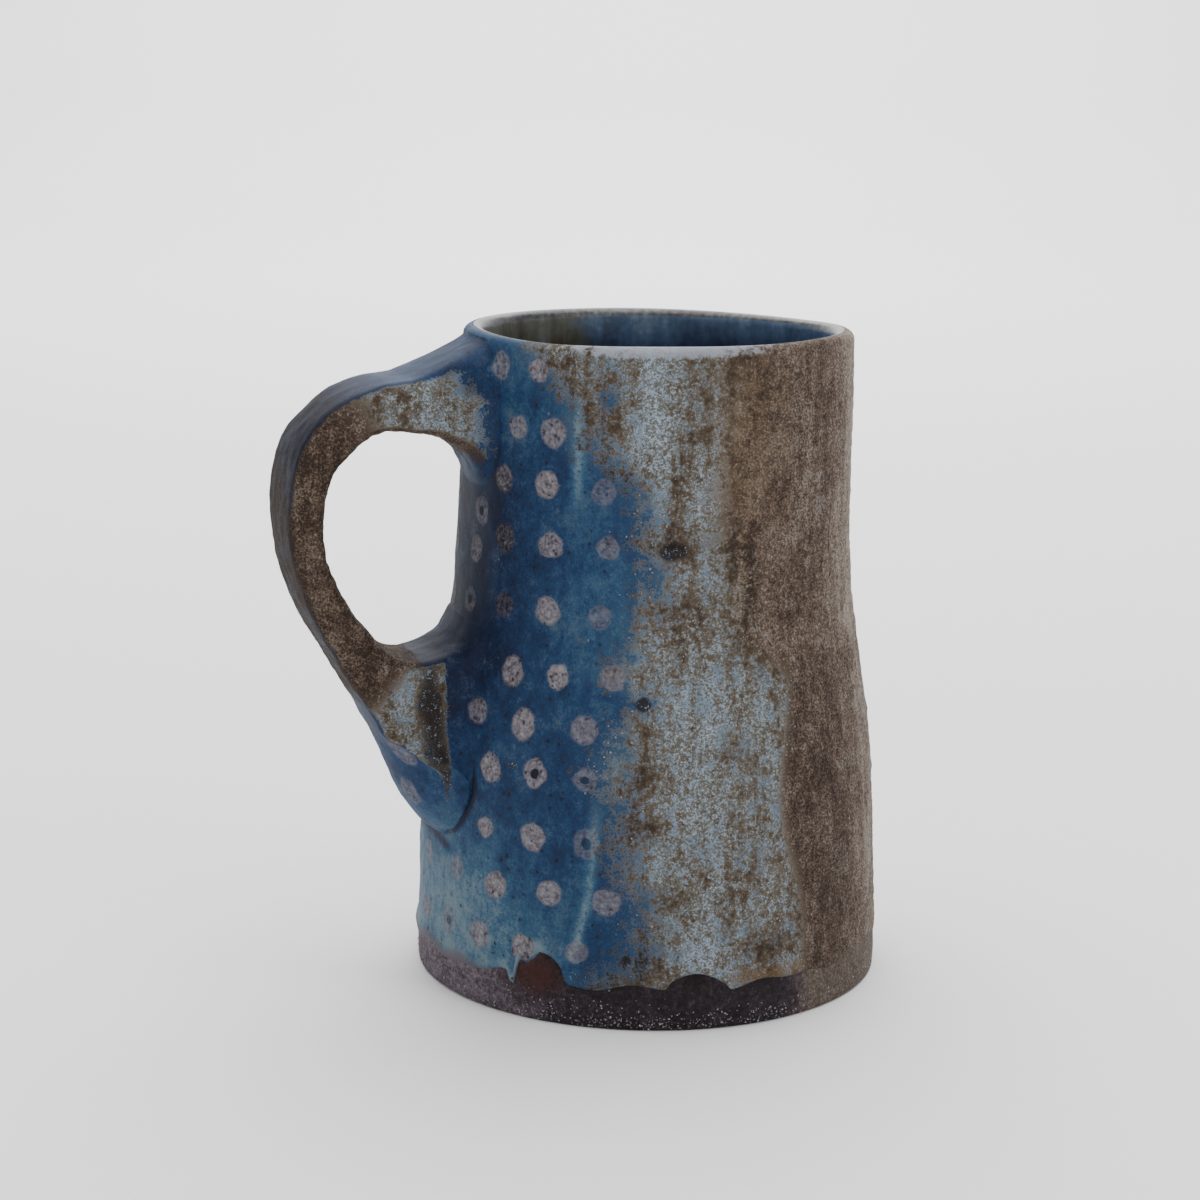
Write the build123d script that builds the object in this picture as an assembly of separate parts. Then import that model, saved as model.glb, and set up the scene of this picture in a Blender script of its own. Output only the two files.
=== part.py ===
from build123d import *
import math
import os

# A handmade stoneware mug. It stands on its foot at the origin, +Z up, with its handle along -X.
# All sizes are in millimetres.

# The body
lip_height = 115.0
neck_radius = 35.0
heel = (41.2, 0.0)
outside = [(42.3, 2.2), (41.7, 14.0), (41.0, 28.0), (39.4, 45.0), (37.0, 60.0), (35.4, 71.5), (35.0, 82.0)]
floor_thickness = 5.5
wall_at_lip = 2.8
wall_at_floor = 3.9
coil_radius = 5.0

# The coats of glaze over the clay
outer_coat = 0.4
liner_coat = 0.3
glaze_line = 8.0  # height of the bare foot
lip_round = 1.6

# The handle seen from the side, as (distance from the mug's axis, height)
strap_width = 18.4
strap_edge_round = 1.8
strap_outside = [
    (33.0, 113.6), (36.6, 109.6), (41.0, 107.7), (48.6, 107.2), (58.6, 103.7), (65.7, 96.6),
    (68.0, 86.0), (66.6, 76.0), (61.4, 64.0), (52.4, 50.2), (46.9, 39.5), (43.6, 28.0), (40.4, 22.5),
]
strap_inside = [
    (33.0, 86.0), (37.2, 93.6), (41.6, 97.4), (47.8, 98.9), (54.6, 97.1), (60.2, 91.4), (61.8, 83.0),
    (61.2, 73.6), (56.6, 67.6), (52.4, 62.4), (47.4, 58.8), (42.4, 60.0), (38.8, 63.8), (34.0, 71.0),
]
upper_joint_reach = 42.0  # the joining clay ends this far from the axis
upper_root = (84.0, 116.0)  # lowest and highest of the joining clay on the wall
lower_joint_reach = 50.0
lower_root = (20.0, 72.0)
lower_joint_width = 20.4

# The dots of slip, in rows on both sides of the handle
dot_width = 4.5
dot_thickness = 0.25
dot_rows = 11
dot_lowest_row = 12.6
dot_row_pitch = 9.75
dot_columns = 4
dot_first_column = 11.0  # degrees round from the handle
dot_column_pitch = 15.3


os.makedirs("parts", exist_ok=True)


def block(low, high):
    """A rectangle in radius and height between two corners."""
    centre = ((low[0] + high[0]) / 2, (low[1] + high[1]) / 2)
    return Pos(*centre) * Rectangle(high[0] - low[0], high[1] - low[1])


def turned(section):
    """A section in radius and height, turned about the mug's axis."""
    return revolve(Plane.XZ * section, Axis.Z)


def filled(inset, top):
    """The section of the whole form as a solid lump, its outside moved in by the inset."""
    points = [(radius - inset, level) for radius, level in outside]
    belly = Spline(*points, tangents=[(0.0, 1.0), (0.0, 1.0)])
    rest = Polyline(points[-1], (neck_radius - inset, top), (0.0, top), (0.0, 0.0), heel, points[0])
    return make_face(belly + rest)


def hollow(coat, corner):
    """The section of the inside, less a coat, with the corner at the floor rounded."""
    taper = (wall_at_floor - wall_at_lip) / lip_height
    bottom = floor_thickness + coat
    top = lip_height + 10.0
    lip = (neck_radius - outer_coat - wall_at_lip - coat, top)
    points = [(r - outer_coat - wall_at_floor + taper * z - coat, z) for r, z in outside[1:]]
    low = (points[0][0], bottom)
    side = Spline(*points, tangents=[(0.0, 1.0), (0.0, 1.0)])
    rest = Polyline(points[-1], (lip[0], lip_height), lip, (0.0, top), (0.0, bottom), low, points[0])
    section = make_face(side + rest)
    if corner > 0.0:
        at_corner = section.vertices().sort_by_distance(low)[0]
        section = fillet(at_corner, corner)
    return section


def rounded_lip(section, radius):
    """The section with both edges of its lip rounded."""
    lip = section.vertices().group_by(Axis.Y)[-1]
    return fillet(lip, radius)


# The body's pieces: sections turned about the axis
round_hollow = hollow(0.0, coil_radius)
finished_hollow = hollow(liner_coat, coil_radius - liner_coat)
finished = rounded_lip(filled(0.0, lip_height) - finished_hollow, lip_round)
clay_core = rounded_lip(filled(outer_coat, lip_height - outer_coat) - round_hollow, lip_round - outer_coat)
coats = finished - clay_core
inside_half = filled(outer_coat + wall_at_lip / 2, lip_height + 1.0)
liner_section = coats & inside_half
outer_section = (coats - inside_half) & block((0.0, glaze_line), (60.0, lip_height + 1.0))
clay_section = finished - outer_section - liner_section
floor_radius = outside[1][0] - outer_coat - wall_at_floor
floor_section = clay_section & block((0.0, 0.0), (floor_radius, floor_thickness))
coil_section = hollow(0.0, 0.0) - round_hollow
wall_section = clay_section - floor_section - coil_section

body = {
    "wall": turned(wall_section),
    "floor": turned(floor_section),
    "corner_coil": turned(coil_section),
    "liner_glaze": turned(liner_section),
    "outer_glaze": turned(outer_section),
}

# The handle: one bent strap, with the clay worked round each end
mug_form = turned(filled(0.0, lip_height))


def strap(width):
    """The whole handle as a strap of one width, its edges rounded, cut to the mug's outside."""
    back = Spline(*[(-distance, level) for distance, level in strap_outside])
    front = Spline(*[(-distance, level) for distance, level in strap_inside])
    top_end = Line(front @ 0, back @ 0)
    tip = (-(neck_radius - 2.0), strap_outside[-1][1])
    tongue_end = Polyline(back @ 1, tip, front @ 1)
    outline = make_face(back + front + top_end + tongue_end)
    slab = extrude(Plane.XZ * outline, width / 2, both=True)
    long_edges = slab.edges().filter_by(Plane.XZ).filter_by(GeomType.BSPLINE)
    return fillet(long_edges, strap_edge_round) - mug_form


def zone(reach, bottom, top):
    """The space beside the wall that one joint fills."""
    middle = (bottom + top) / 2
    return Pos(-reach / 2, 0, middle) * Box(reach, 2 * strap_width, top - bottom)


upper_zone = zone(upper_joint_reach, upper_root[0], upper_root[1])
lower_zone = zone(lower_joint_reach, lower_root[0], lower_root[1])
plain_strap = strap(strap_width)
wide_strap = strap(lower_joint_width)
handle = {
    "handle_strap": plain_strap - upper_zone - lower_zone,
    "handle_upper_joint": plain_strap & upper_zone,
    "handle_lower_joint": wide_strap & lower_zone,
}


def under_handle(angle, level):
    """Whether a dot would lie under one of the handle's joints."""
    sideways = neck_radius * math.sin(math.radians(angle))
    clear = (lower_joint_width + dot_width) / 2
    beside_joint = upper_root[0] < level < upper_root[1] or lower_root[0] < level < lower_root[1]
    return beside_joint and abs(sideways) < clear


def slip_dot(angle, level):
    """One round dot of slip, lying on the outer glaze."""
    punch = Plane.YZ.offset(20.0) * extrude(Circle(dot_width / 2), 40.0)
    punch = Rot(0, 0, 180.0 + angle) * Pos(0, 0, level) * punch
    return punch & dot_skin


dot_skin = turned(filled(-dot_thickness, lip_height - 2.0)) - mug_form
dots = []
for row in range(dot_rows):
    level = dot_lowest_row + row * dot_row_pitch
    for column in range(dot_columns):
        angle = dot_first_column + column * dot_column_pitch
        for side in (-1, 1):
            if not under_handle(side * angle, level):
                dots.append(slip_dot(side * angle, level))

for name, solid in {**body, **handle}.items():
    solid.label = name
    export_step(solid, f"parts/{name}.step")
export_step(Compound(children=dots, label="slip_dots"), "parts/slip_dots.step")
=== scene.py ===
import bmesh
import bpy
import math
import numpy as np
from mathutils import Matrix, Vector


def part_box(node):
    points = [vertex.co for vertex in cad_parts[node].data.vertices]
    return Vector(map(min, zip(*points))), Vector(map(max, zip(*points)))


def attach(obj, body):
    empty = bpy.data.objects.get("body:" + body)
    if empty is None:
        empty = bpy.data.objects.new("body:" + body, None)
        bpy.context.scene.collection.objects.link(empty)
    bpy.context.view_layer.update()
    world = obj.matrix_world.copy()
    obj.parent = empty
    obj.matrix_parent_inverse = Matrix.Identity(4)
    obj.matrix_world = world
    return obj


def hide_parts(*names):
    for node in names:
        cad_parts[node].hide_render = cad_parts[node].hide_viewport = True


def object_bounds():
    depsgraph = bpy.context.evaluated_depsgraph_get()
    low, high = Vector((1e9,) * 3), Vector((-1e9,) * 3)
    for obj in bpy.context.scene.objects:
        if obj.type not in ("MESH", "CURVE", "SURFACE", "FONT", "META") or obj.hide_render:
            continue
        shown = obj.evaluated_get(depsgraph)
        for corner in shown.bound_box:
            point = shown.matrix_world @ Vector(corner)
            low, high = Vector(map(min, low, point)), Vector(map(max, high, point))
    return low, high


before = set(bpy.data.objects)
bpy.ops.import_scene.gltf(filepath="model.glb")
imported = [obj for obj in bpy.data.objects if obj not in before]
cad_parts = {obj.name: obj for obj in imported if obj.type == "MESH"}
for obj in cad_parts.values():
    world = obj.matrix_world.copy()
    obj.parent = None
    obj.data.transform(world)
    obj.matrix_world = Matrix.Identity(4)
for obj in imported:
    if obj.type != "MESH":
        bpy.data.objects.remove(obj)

cad_low, cad_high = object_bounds()


# ---- The wall -------------------------------------------------------------------------------------
# A cylinder of dark stoneware, straight at the neck and pushed out by hand into a soft belly. Only
# its foot stays bare. Every other piece is laid on this form, so its rule and its clay come first.

MM = 0.001
LIP = cad_high[2] / MM
FLOOR_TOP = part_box("floor")[1][2] / MM
LIP_ROUND = 1.6
COAT = 0.4
LINER_COAT = 0.3
WALL_AT_LIP = 2.8
WALL_AT_FLOOR = 3.9
BARE_TOP = 15.0
FORM = ((0.0, 41.6), (2.2, 41.9), (14.0, 41.6), (28.0, 41.0), (45.0, 39.4), (60.0, 37.0), (71.5, 35.4),
        (82.0, 35.0), (100.0, 35.0), (130.0, 35.0))
POINTS_ROUND = 480
AROUND = np.linspace(-180.0, 180.0, POINTS_ROUND, endpoint=False)


def soft_step(value, low, high):
    """0 below low, 1 above high, and a soft step between them."""
    t = np.clip((value - low) / (high - low), 0.0, 1.0)
    return t * t * (3.0 - 2.0 * t)


def soft_fall(value, low, high):
    """1 below low, 0 above high, and a soft step between them."""
    return soft_step(-value, -high, -low)


def mound(value, middle, reach):
    """A soft mound of height 1 round a middle value."""
    return np.exp(-(((value - middle) / reach) ** 2))


def form_radius(level):
    """The wall's radius at a height: one smooth curve through the foot, belly, shoulder and neck."""
    heights, radii = np.array(FORM).T
    slopes = np.gradient(radii, heights)
    slopes[-4:] = 0.0
    k = np.clip(np.searchsorted(heights, level) - 1, 0, len(heights) - 2)
    gap = heights[k + 1] - heights[k]
    t = (level - heights[k]) / gap
    value = (2 * t**3 - 3 * t**2 + 1) * radii[k] + (3 * t**2 - 2 * t**3) * radii[k + 1]
    return value + (t**3 - 2 * t**2 + t) * gap * slopes[k] + (t**3 - t**2) * gap * slopes[k + 1]


def lip_dip(around):
    """How far the hand-cut lip dips below its highest point."""
    near_side = 0.62 * mound(around, 38.0, 30.0) + 0.28 * mound(around, 96.0, 30.0)
    return 0.08 + near_side + 0.5 * mound(np.mod(around, 360.0), 205.0, 35.0)


def on_wall(around, level, out=0.0):
    """A point of the mug's outside: degrees round from the handle, height, and how far it stands out."""
    around, level = np.broadcast_arrays(np.asarray(around, float), np.asarray(level, float))
    turn = np.radians(around)
    wobble = 0.12 * np.sin(2 * turn + 0.03 * level) + 0.09 * np.sin(5 * turn - 0.09 * level)
    wobble = wobble + 0.06 * np.sin(9 * turn + 0.21 * level) - 0.18
    drawn_in = 1.3 * mound(around, -17.0, 42.0) * soft_step(level, 62.0, 112.0)
    radius = form_radius(level) + wobble * soft_step(level, 0.0, 12.0) - drawn_in + out
    height = level - lip_dip(around) * soft_step(level, 80.0, LIP)
    return np.stack([-radius * np.cos(turn), -radius * np.sin(turn), height], axis=-1)


def inner_out(level):
    """Where the clay's inner face lies, as a distance out from the outside: always negative."""
    return -COAT - WALL_AT_FLOOR + (WALL_AT_FLOOR - WALL_AT_LIP) * np.asarray(level) / LIP


def make_piece(name, points, faces):
    """A smooth-shaded piece from points in millimetres."""
    mesh = bpy.data.meshes.new(name)
    mesh.from_pydata((np.asarray(points).reshape(-1, 3) * MM).tolist(), [], faces)
    mesh.shade_smooth()
    piece = bpy.data.objects.new(name, mesh)
    bpy.context.scene.collection.objects.link(piece)
    return piece


def band_faces(rows, count, closed):
    """Quads between rows of points that each run once round, facing outwards."""
    faces = []
    for row in range(rows if closed else rows - 1):
        here = row * count
        there = (row + 1) % rows * count
        for k in range(count):
            after = (k + 1) % count
            faces.append((here + k, here + after, there + after, there + k))
    return faces


def turned_piece(name, rows):
    """A closed piece from rows of points round the mug, the last row joined to the first."""
    rows = np.asarray(rows)
    return make_piece(name, rows, band_faces(len(rows), rows.shape[1], True))


def paint(piece, **fields):
    """Keeps numbers on the piece's points, for its material to read."""
    for name, values in fields.items():
        attribute = piece.data.attributes.new(name, "FLOAT", "POINT")
        values = np.broadcast_to(np.asarray(values, float).ravel(), len(piece.data.vertices))
        attribute.data.foreach_set("value", values.astype(np.float32))


def node(tree, kind, values=None, **settings):
    """Adds a node. Values fill its inputs, each with a number or with another node's output."""
    made = tree.nodes.new(kind)
    for setting, choice in settings.items():
        setattr(made, setting, choice)
    for key, value in (values or {}).items():
        if isinstance(value, bpy.types.NodeSocket):
            tree.links.new(value, made.inputs[key])
        else:
            made.inputs[key].default_value = value
    return made


def calc(tree, operation, *values):
    """A sum, product or other step of arithmetic."""
    return node(tree, "ShaderNodeMath", dict(enumerate(values)), operation=operation).outputs[0]


def vector(tree, operation, first, second):
    """A step of arithmetic on a place or a direction. SCALE takes a number second."""
    key = "Scale" if operation == "SCALE" else 1
    return node(tree, "ShaderNodeVectorMath", {0: first, key: second}, operation=operation).outputs[0]


def blotches(tree, where, size, detail=4.0, roughness=0.6):
    """Cloudy variation from 0 to 1 whose patches are about that many millimetres across."""
    made = node(tree, "ShaderNodeTexNoise", {
        "Vector": where, "Scale": 1.0 / size, "Detail": detail, "Roughness": roughness})
    return made.outputs["Fac"]


def edge_at(tree, value, low, high):
    """0 below low, 1 above high."""
    made = node(tree, "ShaderNodeMapRange", {"Value": value, "From Min": low, "From Max": high},
                interpolation_type="SMOOTHSTEP")
    return made.outputs["Result"]


def shifted(tree, value, *changes):
    """A value pushed up and down by pairs of (variation, strength)."""
    for variation, strength in changes:
        centred = calc(tree, "SUBTRACT", variation, 0.5)
        value = calc(tree, "MULTIPLY_ADD", centred, strength, value)
    return value


def linear(red, green, blue):
    """A colour from 0 to 255 as the light that it gives back."""
    return tuple((c / 255.0) ** 2.2 for c in (red, green, blue)) + (1.0,)


def shades(tree, value, stops):
    """A row of colours, each at its place from 0 to 1."""
    made = node(tree, "ShaderNodeValToRGB", {"Fac": value})
    ramp = made.color_ramp
    while len(ramp.elements) < len(stops):
        ramp.elements.new(1.0)
    for element, (place, colour) in zip(ramp.elements, stops):
        element.position = place
        element.color = linear(*colour)
    return made.outputs["Color"]


def over(tree, amount, below, above, strength=1.0):
    """One colour laid over another, where and as strongly as given."""
    if strength < 1.0:
        amount = calc(tree, "MULTIPLY", amount, strength)
    if isinstance(above, tuple):
        above = linear(*above)
    made = node(tree, "ShaderNodeMix", {0: amount, 6: below, 7: above}, data_type="RGBA")
    return made.outputs[2]


def in_millimetres(tree):
    """The place on the piece, in millimetres."""
    place = node(tree, "ShaderNodeTexCoord").outputs["Object"]
    return vector(tree, "SCALE", place, 1.0 / MM)


def painted(tree, name):
    """A number kept on the piece's points by paint()."""
    return node(tree, "ShaderNodeAttribute", attribute_name=name).outputs["Fac"]


def finish_material(name, tree_maker):
    """A material from a maker that returns its colour, roughness and height in millimetres."""
    material = bpy.data.materials.new(name)
    material.use_nodes = True
    tree = material.node_tree
    shader = tree.nodes["Principled BSDF"]
    colour, roughness, height = tree_maker(tree)
    tree.links.new(colour, shader.inputs["Base Color"])
    tree.links.new(roughness, shader.inputs["Roughness"])
    shader.inputs["Specular IOR Level"].default_value = 0.22
    bump = node(tree, "ShaderNodeBump", {"Height": height, "Strength": 1.0, "Distance": MM})
    tree.links.new(bump.outputs["Normal"], shader.inputs["Normal"])
    return material


DARK_CLAY = ((0.1, (22, 18, 21)), (0.38, (42, 36, 40)), (0.62, (68, 58, 64)), (0.92, (112, 104, 112)))
FLASHED_CLAY = ((0.1, (40, 32, 27)), (0.42, (74, 64, 57)), (0.66, (98, 88, 80)), (0.95, (136, 128, 120)))
RED_CLAY = (66, 38, 31)
PALE_GRIT = (176, 172, 178)


def bare_clay(tree):
    """Dark purple-brown stoneware, greyer or flashed brown in places, with pale grit showing through."""
    place = in_millimetres(tree)
    clouds = blotches(tree, place, 6.0)
    fine = blotches(tree, place, 0.9, 3.0, 0.7)
    grains = blotches(tree, place, 0.4, 1.0)
    value = shifted(tree, painted(tree, "worn"), (clouds, 0.6), (fine, 0.9), (grains, 0.5))
    colour = shades(tree, value, DARK_CLAY)
    red = edge_at(tree, shifted(tree, painted(tree, "red"), (clouds, 0.6), (fine, 1.0)), 0.3, 0.8)
    colour = over(tree, red, colour, RED_CLAY, 0.6)
    flashed_value = shifted(tree, 0.5, (clouds, 0.3), (fine, 0.8), (grains, 0.9))
    flashed = edge_at(tree, shifted(tree, painted(tree, "flashed"), (clouds, 0.5), (fine, 0.9)), 0.3, 0.7)
    colour = over(tree, flashed, colour, shades(tree, flashed_value, FLASHED_CLAY))
    grit = edge_at(tree, shifted(tree, painted(tree, "sandy"), (grains, 1.9), (clouds, 0.7)), 0.8, 0.92)
    colour = over(tree, grit, colour, PALE_GRIT, 0.7)
    height = calc(tree, "MULTIPLY", shifted(tree, grit, (fine, 1.4), (grains, 1.0)), 0.16)
    return colour, calc(tree, "MULTIPLY_ADD", fine, 0.15, 0.7), height


wall_rows = [on_wall(AROUND, 0.0, -1.4), on_wall(AROUND, 0.0, -0.5), on_wall(AROUND, 0.35, -0.1)]
wall_rows += [on_wall(AROUND, z, -0.1 - 0.3 * min(z / 5.0, 1.0)) for z in np.linspace(0.9, BARE_TOP, 30)]
bare_rows = len(wall_rows)
wall_rows += [on_wall(AROUND, z, -0.7) for z in np.linspace(20.0, LIP - 2.0, 6)]
wall_rows += [on_wall(AROUND, z, inner_out(z) + 0.15) for z in np.linspace(LIP - 2.0, FLOOR_TOP, 6)]
wall_rows += [on_wall(AROUND, 0.0, inner_out(FLOOR_TOP) + 0.1)]
wall = turned_piece("clay_wall", wall_rows)
wall_levels = np.asarray(wall_rows)[..., 2]
wall_side = np.abs(np.broadcast_to(AROUND, wall_levels.shape))
dark_span = soft_step(wall_side, 28.0, 64.0) * soft_fall(wall_side, 100.0, 116.0)
under_arch = mound(wall_side, 44.0, 6.0) * mound(wall_levels, 9.0, 4.0)
sandy = 0.1 + (0.16 + 0.22 * dark_span) * mound(wall_levels, 1.0, 2.0)
sandy = sandy + 0.12 * mound(wall_levels, 4.5, 2.5) * mound(wall_side, 62.0, 10.0)
paint(wall, worn=0.72 - 0.4 * dark_span - 0.3 * under_arch, flashed=soft_step(wall_side, 97.0, 124.0),
      red=0.9 * mound(wall_side, 43.0, 9.0) * mound(wall_levels, 8.0, 4.5), sandy=sandy)
wall.data.materials.append(finish_material("bare_stoneware", bare_clay))
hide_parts("wall")
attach(wall, "root")


# ---- The floor and the coil in the corner ----------------------------------------------------------
# A flat disc of the same clay, cut to fit inside the wall, scored and slipped into place. A thin coil
# is pressed into the corner inside, under the glaze. The underside is bare, drawn without the board's grain.

FLOOR_HOLLOW = 0.22
floor_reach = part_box("floor")[1][0] / MM
floor_rings = [(z, 1.0) for z in (FLOOR_TOP - 0.1, 0.6)]
floor_rings += [(0.12, 0.985), (0.0, 0.96), (0.0, 0.9), (0.05, 0.8), (0.15, 0.62), (0.2, 0.4)]
floor_rings += [(FLOOR_HOLLOW, 0.2)]
turn = np.radians(AROUND[::2])
floor_points = [(0.0, 0.0, FLOOR_TOP - 0.1)]
for level, share in floor_rings:
    for t in turn:
        floor_points.append((-floor_reach * share * math.cos(t), -floor_reach * share * math.sin(t), level))
floor_points.append((0.0, 0.0, FLOOR_HOLLOW))
count = len(turn)
floor_faces = [(0, 1 + k, 1 + (k + 1) % count) for k in range(count)]
for ring in range(len(floor_rings) - 1):
    for k in range(count):
        a = 1 + ring * count + k
        b = 1 + ring * count + (k + 1) % count
        floor_faces.append((a, a + count, b + count, b))
under = len(floor_points) - 1
inmost = 1 + (len(floor_rings) - 1) * count
floor_faces += [(under, inmost + (k + 1) % count, inmost + k) for k in range(count)]
mug_floor = make_piece("base_disc", floor_points, floor_faces)
paint(mug_floor, worn=0.5, flashed=0.0, red=0.0, sandy=0.12)
mug_floor.data.materials.append(bpy.data.materials["bare_stoneware"])
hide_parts("floor")
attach(mug_floor, "root")
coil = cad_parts["corner_coil"]
coil.data.materials.clear()
coil.data.materials.append(bpy.data.materials["bare_stoneware"])


# ---- Where the coats lie ---------------------------------------------------------------------------
# The mug was fired in ash. Cobalt blue runs round from the handle, a crust of pale ash lies beside it,
# and the far side is bare clay flashed brown. Each coat is a soft field here; the materials break it up.

# How far round from the handle the blue reaches, in degrees, at each height.
BLUE_REACH = (
    (0.0, 50.0), (8.0, 56.0), (13.0, 66.0), (20.0, 66.0), (30.0, 61.5), (38.0, 60.0), (45.0, 57.0),
    (51.0, 60.0), (56.0, 66.0), (60.0, 56.0), (66.0, 63.0), (76.0, 67.0), (86.0, 66.0), (92.0, 61.0),
    (97.0, 50.0), (104.0, 46.0), (109.0, 39.0), (113.0, 28.0),
)
# Each patch and spot: (degrees round, height), (reach across, reach up), and a spot's strength.
BROWN_PATCHES = (((69.0, 44.0), (3.5, 3.0)), ((75.0, 23.0), (4.0, 2.2)), ((72.0, 35.0), (3.5, 2.5)),
                 ((66.0, 12.0), (6.0, 3.0)), ((101.0, 14.0), (6.0, 3.0)), ((88.0, 47.0), (4.0, 2.0)),
                 ((78.0, 71.0), (5.0, 2.5)), ((66.0, 92.0), (4.0, 4.0)), ((80.0, 82.0), (6.0, 4.0)))
SOOT_SPOTS = (
    ((76.0, 81.0), (3.2, 1.9), 1.0), ((68.3, 55.6), (1.5, 1.4), 1.0), ((65.4, 12.4), (1.1, 1.0), 1.0),
    ((34.0, 43.5), (2.2, 1.4), 0.55), ((33.0, 46.0), (1.3, 0.8), 0.5), ((47.0, 45.5), (1.0, 0.7), 0.5),
    ((22.0, 60.0), (3.0, 3.0), 0.45), ((24.0, 76.0), (2.5, 4.0), 0.4),
)


def spot(around, level, where, reach):
    """A soft round spot on the wall, its reach given in millimetres across and up."""
    arc = (around - where[0]) * np.radians(form_radius(level))
    return np.exp(-((arc / reach[0]) ** 2) - (((level - where[1]) / reach[1]) ** 2))


GLAZE_LINE = 7.4


def glaze_edge(around):
    """The height of the coat's lower edge."""
    near_arch = 5.0 * np.clip(1.0 - ((around - 44.5) / 6.6) ** 2, 0.0, 1.0) ** 0.6
    far_arch = 2.6 * np.clip(1.0 - ((around - 82.5) / 7.6) ** 2, 0.0, 1.0) ** 0.6
    run = 2.4 * mound(around, 37.2, 1.0)
    turn = np.radians(around)
    waver = 0.45 * np.sin(11 * turn + 0.7) + 0.3 * np.sin(23 * turn)
    return GLAZE_LINE + near_arch + far_arch - run + waver - 1.2 * soft_fall(around, 10.0, 34.0)


def coats(around, level):
    """The coats at a place on the wall."""
    side = np.abs(around)
    above_edge = level - glaze_edge(around)
    low = soft_fall(level, 56.0, 67.0)
    reach = np.interp(level, *np.array(BLUE_REACH).T)
    blue = np.clip(0.5 + (reach - side) / 24.0, 0.0, 1.0)
    blue = np.maximum(blue, 0.5 * spot(around, level, (57.0, 106.0), (2.5, 3.0)))
    shade_and_deep_blue_by_handle = soft_fall(side, 8.0, 44.0)
    tone = 0.48 + 0.38 * soft_fall(level, 12.0, 40.0) * soft_fall(side, 20.0, 66.0)
    # Beside the handle at mid height the blue is darker: partly a deeper glaze, partly painted shade from the
    # handle.
    tone = tone - 0.24 * shade_and_deep_blue_by_handle * soft_step(level, 40.0, 56.0) * soft_fall(level, 86.0, 104.0)
    tone = tone + 0.14 * spot(around, level, (56.0, 74.0), (6.0, 16.0)) + 0.08 * soft_step(level, 92.0, 104.0)
    lean = 57.5 - 0.0105 * (34.0 - level) ** 2 * (level < 34.0)
    low_run = mound((around - lean) * 0.7, 0.0, 1.0) * soft_step(level, 10.0, 14.0)
    high_run = mound((around - 49.0) * 0.61, 0.0, 1.3) * soft_step(level, 86.0, 92.0)
    run = low_run * soft_fall(level, 33.0, 42.0) + high_run * soft_fall(level, 100.0, 109.0)
    run = run + 2.4 * mound(above_edge, 0.7, 0.8) * mound(around, 40.6, 4.2)
    pale = 0.4 + 0.16 * mound(side, 69.0, 6.0)
    pale = pale + 0.14 * mound(side, 85.0, 6.0) * soft_fall(level, 92.0, 106.0)
    pale = pale - 0.1 * soft_step(side, 86.0, 96.0) + 0.03 * soft_step(level, 98.0, 106.0)
    low_pale = 0.42 + 0.1 * mound(side, 82.0, 11.0) + 0.03 * soft_step(side, 92.0, 100.0)
    pale = pale * (1 - low) + low * low_pale
    pale = pale + 0.06 * low * mound(level, 50.0, 12.0)
    pale = pale - 0.14 * mound(above_edge, 1.0, 3.0) * soft_fall(side, 62.0, 80.0)
    for where, size in BROWN_PATCHES:
        pale = pale - 0.16 * spot(around, level, where, size)
    pale = pale + 0.2 * spot(around, level, (72.0, 101.0), (3.0, 8.0))
    pale = pale + 0.15 * spot(around, level, (82.0, 13.0), (4.0, 3.0))
    rim = soft_step(level, LIP - 3.4, LIP - 1.2) * mound(side, 74.0, 36.0)
    bare_from = 108.0 + 3.0 * np.sin(0.12 * level) - 10.0 * (1.0 - low)
    clay = np.clip(0.5 + (side - bare_from) / (7.0 + 30.0 * (1.0 - low)), 0.0, 1.0)
    soot = np.zeros_like(level)
    for where, size, strength in SOOT_SPOTS:
        soot = soot + strength * spot(around, level, where, size)
    rust = 0.9 * mound(level, 8.6, 1.8) * soft_step(side, 86.0, 92.0) * soft_fall(side, 108.0, 114.0)
    high_rust = soft_step(level, 70.0, 88.0) * soft_step(side, 72.0, 90.0) * soft_fall(side, 100.0, 128.0)
    rust = rust + 0.5 * high_rust
    rust = rust + 0.35 * mound(level, 11.0, 3.0) * mound(side, 66.0, 9.0)
    soot = soot + 0.42 * mound(level, 8.8, 2.2) * soft_step(side, 48.0, 54.0) * soft_fall(side, 68.0, 80.0)
    worn = mound(above_edge, -0.5, 2.6) * soft_fall(side, 20.0, 36.0)
    # How light the flashed clay is: lighter towards the far edge, which is painted light, and a little
    # lighter higher up.
    clay_tone_and_painted_light = 0.33 + 0.3 * soft_step(side, 122.0, 148.0) + 0.1 * (1.0 - low)
    fields = {"tone": tone, "pale": pale, "soot": soot, "rust": rust, "run": run}
    fields = {name: np.clip(values, 0.0, 1.0) for name, values in fields.items()}
    return {**fields, "blue": blue, "clay": clay, "clay_tone_and_painted_light": clay_tone_and_painted_light, "worn": worn, "rim": rim}


BLUE_SHADES = ((0.0, (4, 12, 29)), (0.28, (8, 25, 51)), (0.5, (20, 48, 80)), (0.72, (46, 77, 101)),
               (0.95, (96, 114, 124)))
ASH_SHADES = ((0.1, (46, 38, 32)), (0.3, (78, 66, 54)), (0.42, (94, 86, 75)), (0.54, (98, 102, 100)),
              (0.7, (112, 122, 130)), (0.95, (146, 155, 164)))
FLASHED_SHADES = ((0.1, (42, 33, 28)), (0.42, (80, 67, 58)), (0.66, (106, 94, 85)), (0.95, (146, 138, 128)))
PALE_BLUE = (66, 94, 122)
CRYSTALS = (166, 177, 190)
BROWN_PITS = (46, 38, 32)
BLACK_PITS = (20, 20, 26)
RUST = (100, 78, 54)
PALE_FLECKS = (116, 116, 112)
SOOT = (28, 24, 28)
WHITE_RIM = (150, 156, 166)
GREY_PURPLE = (84, 76, 82)
BROWN_HAZE = (78, 74, 70)


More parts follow.
